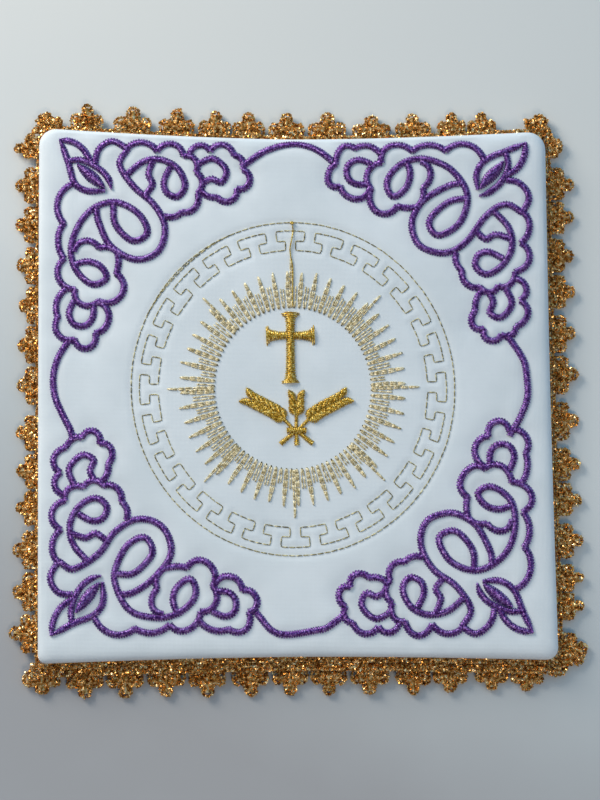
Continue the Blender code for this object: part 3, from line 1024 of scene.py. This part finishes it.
def insideLine(spot, line):
    # a closed line is crossed an odd number of times on the way out of it
    inside = False
    for a, b in zip(line, line[1:] + line[:1]):
        if (a.y > spot.y) != (b.y > spot.y) and spot.x < a.x + (b.x - a.x) * (spot.y - a.y) / (b.y - a.y):
            inside = not inside
    return inside


def scallopKnots():
    # where the loops of one scallop lie, on its full pitch and height: a row inside its edge, and a filling
    edge = []
    for along, out, radius, first, last in trim["lobes"]:
        steps = round((first - last) / 15)
        for step in range(steps + 1):
            angle = math.radians(first + (last - first) * step / steps)
            edge.append(Vector((along + radius * math.cos(angle), out + radius * math.sin(angle))))
    edge = [Vector((edge[0].x, 0.0))] + edge + [Vector((edge[-1].x, 0.0))]
    knots = [spot + trim["inset"] * Vector((along.y, -along.x))
             for _, spot, along in evenPlaces(edge, trim["knotSpacing"], 0.5)]
    knots = [knot for knot in knots if insideLine(knot, edge)]
    # the filling lies in staggered rows
    filling = []
    spacing = trim["knotSpacing"]
    for row in range(11):
        for column in range(-8, 9):
            spot = Vector(((column + 0.5 * (row % 2)) * spacing, 0.3 + row * spacing * 0.87))
            if insideLine(spot, edge) and min((spot - knot).length for knot in knots) > 0.6:
                filling.append(spot)
    return knots + filling


def trimScallops(line):
    # each scallop: its run, middle along the line, pitch, heading's width, height past that, lean of its tip
    chance = random.Random(trim["seed"])
    tips = []
    for run, (_, axis, heading, reaches, places) in enumerate(trim["runs"]):
        for place in places:
            reach = readTable(reaches, place) + chance.uniform(-trim["reachWaver"], trim["reachWaver"])
            tips.append((run, line.stationOf(run, axis, place), heading, reach - heading))
    # the first and the last one are narrow enough to end on the band
    scallops = []
    bandEnd = line.lengths[-1] - trim["endReach"]
    for index, (run, middle, heading, tall) in enumerate(tips):
        before = tips[index - 1][1] if index else 2 * middle - tips[1][1]
        after = tips[index + 1][1] if index + 1 < len(tips) else 2 * middle - before
        pitch = min(trim["widestPitch"], middle - before, after - middle)
        pitch = min(pitch, 2.2 * middle, 2.2 * (bandEnd - middle))
        lean = chance.uniform(-trim["leanWaver"], trim["leanWaver"])
        scallops.append((run, middle, pitch, heading, tall + trim["proud"], lean))
    return scallops


def onScallop(scallop, spot):
    # a place on the full pitch and height, as length along the line and distance out from it
    _, middle, pitch, heading, tall, lean = scallop
    out = spot[1] * tall / trim["height"]
    return middle + spot[0] * pitch / trim["pitch"] + lean * out / tall, heading + out


def coreStrands(line, scallop):
    strands = []
    for core in trim["core"]:
        places = [line.place(*onScallop(scallop, spot)) for spot in curveThrough(core, 3)]
        strands.append([(Vector((place.x, place.y, trim["coreLevel"] + max(trimLift(place), 0.0))),
                         trim["coreRadius"] / trim["yarnRadius"]) for place in places])
    return strands


def knotAt(line, length, out, size, lift, chance):
    place = line.place(length, out)
    hangsFrom, slope = trim["droop"]
    droop = slope * max(0.0, out - hangsFrom)
    level = trim["level"] + trimLift(place) - droop + lift + chance.uniform(-0.3, 0.4)
    return yarnKnot(Vector((place.x, place.y, max(level, trim["lowest"]))), size, chance)


def scallopStrands(line, scallop, knots, chance):
    strands = coreStrands(line, scallop)
    scatter = trim["knotScatter"]
    for knot in knots:
        along, out = onScallop(scallop, knot)
        along, out = along + chance.uniform(-scatter, scatter), out + chance.uniform(-scatter, scatter)
        strands.append(knotAt(line, along, out, chance.uniform(*trim["knotSizes"]), 0.0, chance))
        # how far apart loops lie here that are 1 apart on the line, which is more round a corner
        spread = (line.place(along + 0.5, out) - line.place(along - 0.5, out)).length
        for extra in range(1, min(4, int(spread / trim["widestGap"]))):
            beside, further = along + 0.9 * extra / spread, out + chance.uniform(-0.3, 0.3)
            strands.append(knotAt(line, beside, further, 1.0, 0.0, chance))
    return strands


def headingStrands(line, run, heading, chance):
    strands = []
    start, end = line.stations[run], line.stations[run + 1]
    count = round((end - start) / trim["knotSpacing"] * 1.1)
    rows = trim["wideHeading"] if heading > 3 else trim["narrowHeading"]
    for row, (share, lift) in enumerate(rows):
        slant = trim["startSlant"] * (1 - share) if run == 0 else 0.0
        for n in range(count):
            length = start + (n + 0.5 * (row % 2)) * (end - start) / count
            if length > slant:
                strands.append(knotAt(line, length, share * heading, 1.0, lift, chance))
    return strands


def makeTrim():
    line = SewingLine()
    loose = random.Random(31)
    knots = scallopKnots()
    strands = [[] for _ in trim["runs"]]
    for scallop in trimScallops(line):
        strands[scallop[0]] += scallopStrands(line, scallop, knots, loose)
    for run, (name, _, heading, _, _) in enumerate(trim["runs"]):
        strands[run] += headingStrands(line, run, heading, loose)
        piece = strandPiece(name + "Trim", strands[run], trim["yarnRadius"], goldYarn, False)
        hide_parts("gold_trim")


makeTrim()
print("trim crocheted")

studio = {
    "lookAt": (2.0, -1.2, 7.6), "distance": 480, "elevation": 86.75, "roll": -0.25, "lens": 69.5,
    "keyPlace": (-0.52, 0.53, 0.37), "keySize": 0.36, "keyPower": 6.5, "keyColour": "#FFF2DC",
    "glintPlace": (0.1, -0.36, 0.48), "glintSize": 0.16, "glintPower": 0.75, "glintColour": "#FFE4BC",
    "worldStrength": 0.71, "worldNear": "#707684", "worldFar": "#B4E4FF", "worldBlend": 0.6,
    # the board's painted shade, in tones from near (darker) to far, over this many metres each way, how far
    # they slant and cloud
    "floorShadeTones": ((0.06, "#A8A9B0"), (0.4, "#C2C9D1"), (0.62, "#D6DBE1"), (1.0, "#DADDE1")),
    "floorBlend": 0.12, "floorSlant": 0.45, "floorClouds": 0.12,
    "floorSize": 6,
}


def boardMaterial():
    # a painted board, matt, with painted shade: its colour darkens towards the near side and the left, where
    # less light falls from the far side
    settings = {"Roughness": 0.9, "Specular IOR Level": 0.2}
    material, tree, shader, places = startMaterial("paleBoard", settings)
    clouds = addNode(tree, "ShaderNodeTexNoise", {"Scale": 25.0, "Detail": 4.0}, {"Vector": places})
    parts = addNode(tree, "ShaderNodeSeparateXYZ", None, {"Vector": places})
    slope = addNode(tree, "ShaderNodeMath", {"operation": "MULTIPLY_ADD", 1: studio["floorSlant"]},
                    {0: parts.outputs["X"], 2: parts.outputs["Y"]})
    spread = addNode(tree, "ShaderNodeMapRange",
                     {"From Min": -studio["floorBlend"], "From Max": studio["floorBlend"]},
                     {"Value": slope.outputs[0]})
    clouded = addNode(tree, "ShaderNodeMath", {"operation": "MULTIPLY_ADD", 1: studio["floorClouds"]},
                      {0: clouds.outputs["Fac"], 2: spread.outputs["Result"]})
    tint = addNode(tree, "ShaderNodeValToRGB", None, {"Fac": clouded.outputs[0]})
    setStops(tint, studio["floorShadeTones"])
    tree.links.new(tint.outputs["Color"], shader.inputs["Base Color"])
    return material


def makeFloor():
    bm = bmesh.new()
    bmesh.ops.create_grid(bm, x_segments=1, y_segments=1, size=studio["floorSize"])
    mesh = bpy.data.meshes.new("floor")
    bm.to_mesh(mesh)
    bm.free()
    mesh.materials.append(boardMaterial())
    floor = addObject("floor", mesh)


def makeLight(name):
    data = bpy.data.lights.new(name + "Light", "AREA")
    data.shape = "SQUARE"
    data.size = studio[name + "Size"]
    data.energy = studio[name + "Power"]
    data.color = hexColour(studio[name + "Colour"])[:3]
    light = addObject(name + "Light", data)
    light.location = studio[name + "Place"]
    light.rotation_euler = (-Vector(studio[name + "Place"])).to_track_quat("-Z", "Y").to_euler()


def makeWorld():
    # a bright window side beyond the cloth and a dim room on this side of it
    world = bpy.data.worlds.new("studio")
    world.use_nodes = True
    tree = world.node_tree
    places = addNode(tree, "ShaderNodeTexCoord")
    parts = addNode(tree, "ShaderNodeSeparateXYZ", None, {"Vector": places.outputs["Generated"]})
    side = addNode(tree, "ShaderNodeMapRange",
                   {"From Min": -studio["worldBlend"], "From Max": studio["worldBlend"]},
                   {"Value": parts.outputs["Y"]})
    shade = addNode(tree, "ShaderNodeValToRGB", None, {"Fac": side.outputs["Result"]})
    setStops(shade, ((0.0, studio["worldNear"]), (1.0, studio["worldFar"])))
    background = tree.nodes["Background"]
    tree.links.new(shade.outputs["Color"], background.inputs["Color"])
    background.inputs["Strength"].default_value = studio["worldStrength"]
    bpy.context.scene.world = world


def makeCamera():
    # plain colours, as a camera's own picture has them
    bpy.context.scene.view_settings.view_transform = "Standard"
    camera = bpy.data.cameras.new("camera")
    camera.lens = studio["lens"]
    camera.clip_start = 0.01
    obj = addObject("camera", camera)
    e, r = math.radians(studio["elevation"]), math.radians(studio["roll"])
    back = Vector((0, -math.cos(e), math.sin(e)))
    right, up = Vector((1, 0, 0)), Vector((0, math.sin(e), math.cos(e)))
    right, up = math.cos(r) * right + math.sin(r) * up, math.cos(r) * up - math.sin(r) * right
    place = Vector(studio["lookAt"]) + back * studio["distance"]
    obj.matrix_world = Matrix.Translation(place * mm) @ Matrix((right, up, back)).transposed().to_4x4()
    bpy.context.scene.camera = obj


makeFloor()
makeLight("key")
makeLight("glint")
makeWorld()
makeCamera()
print("studio ready")
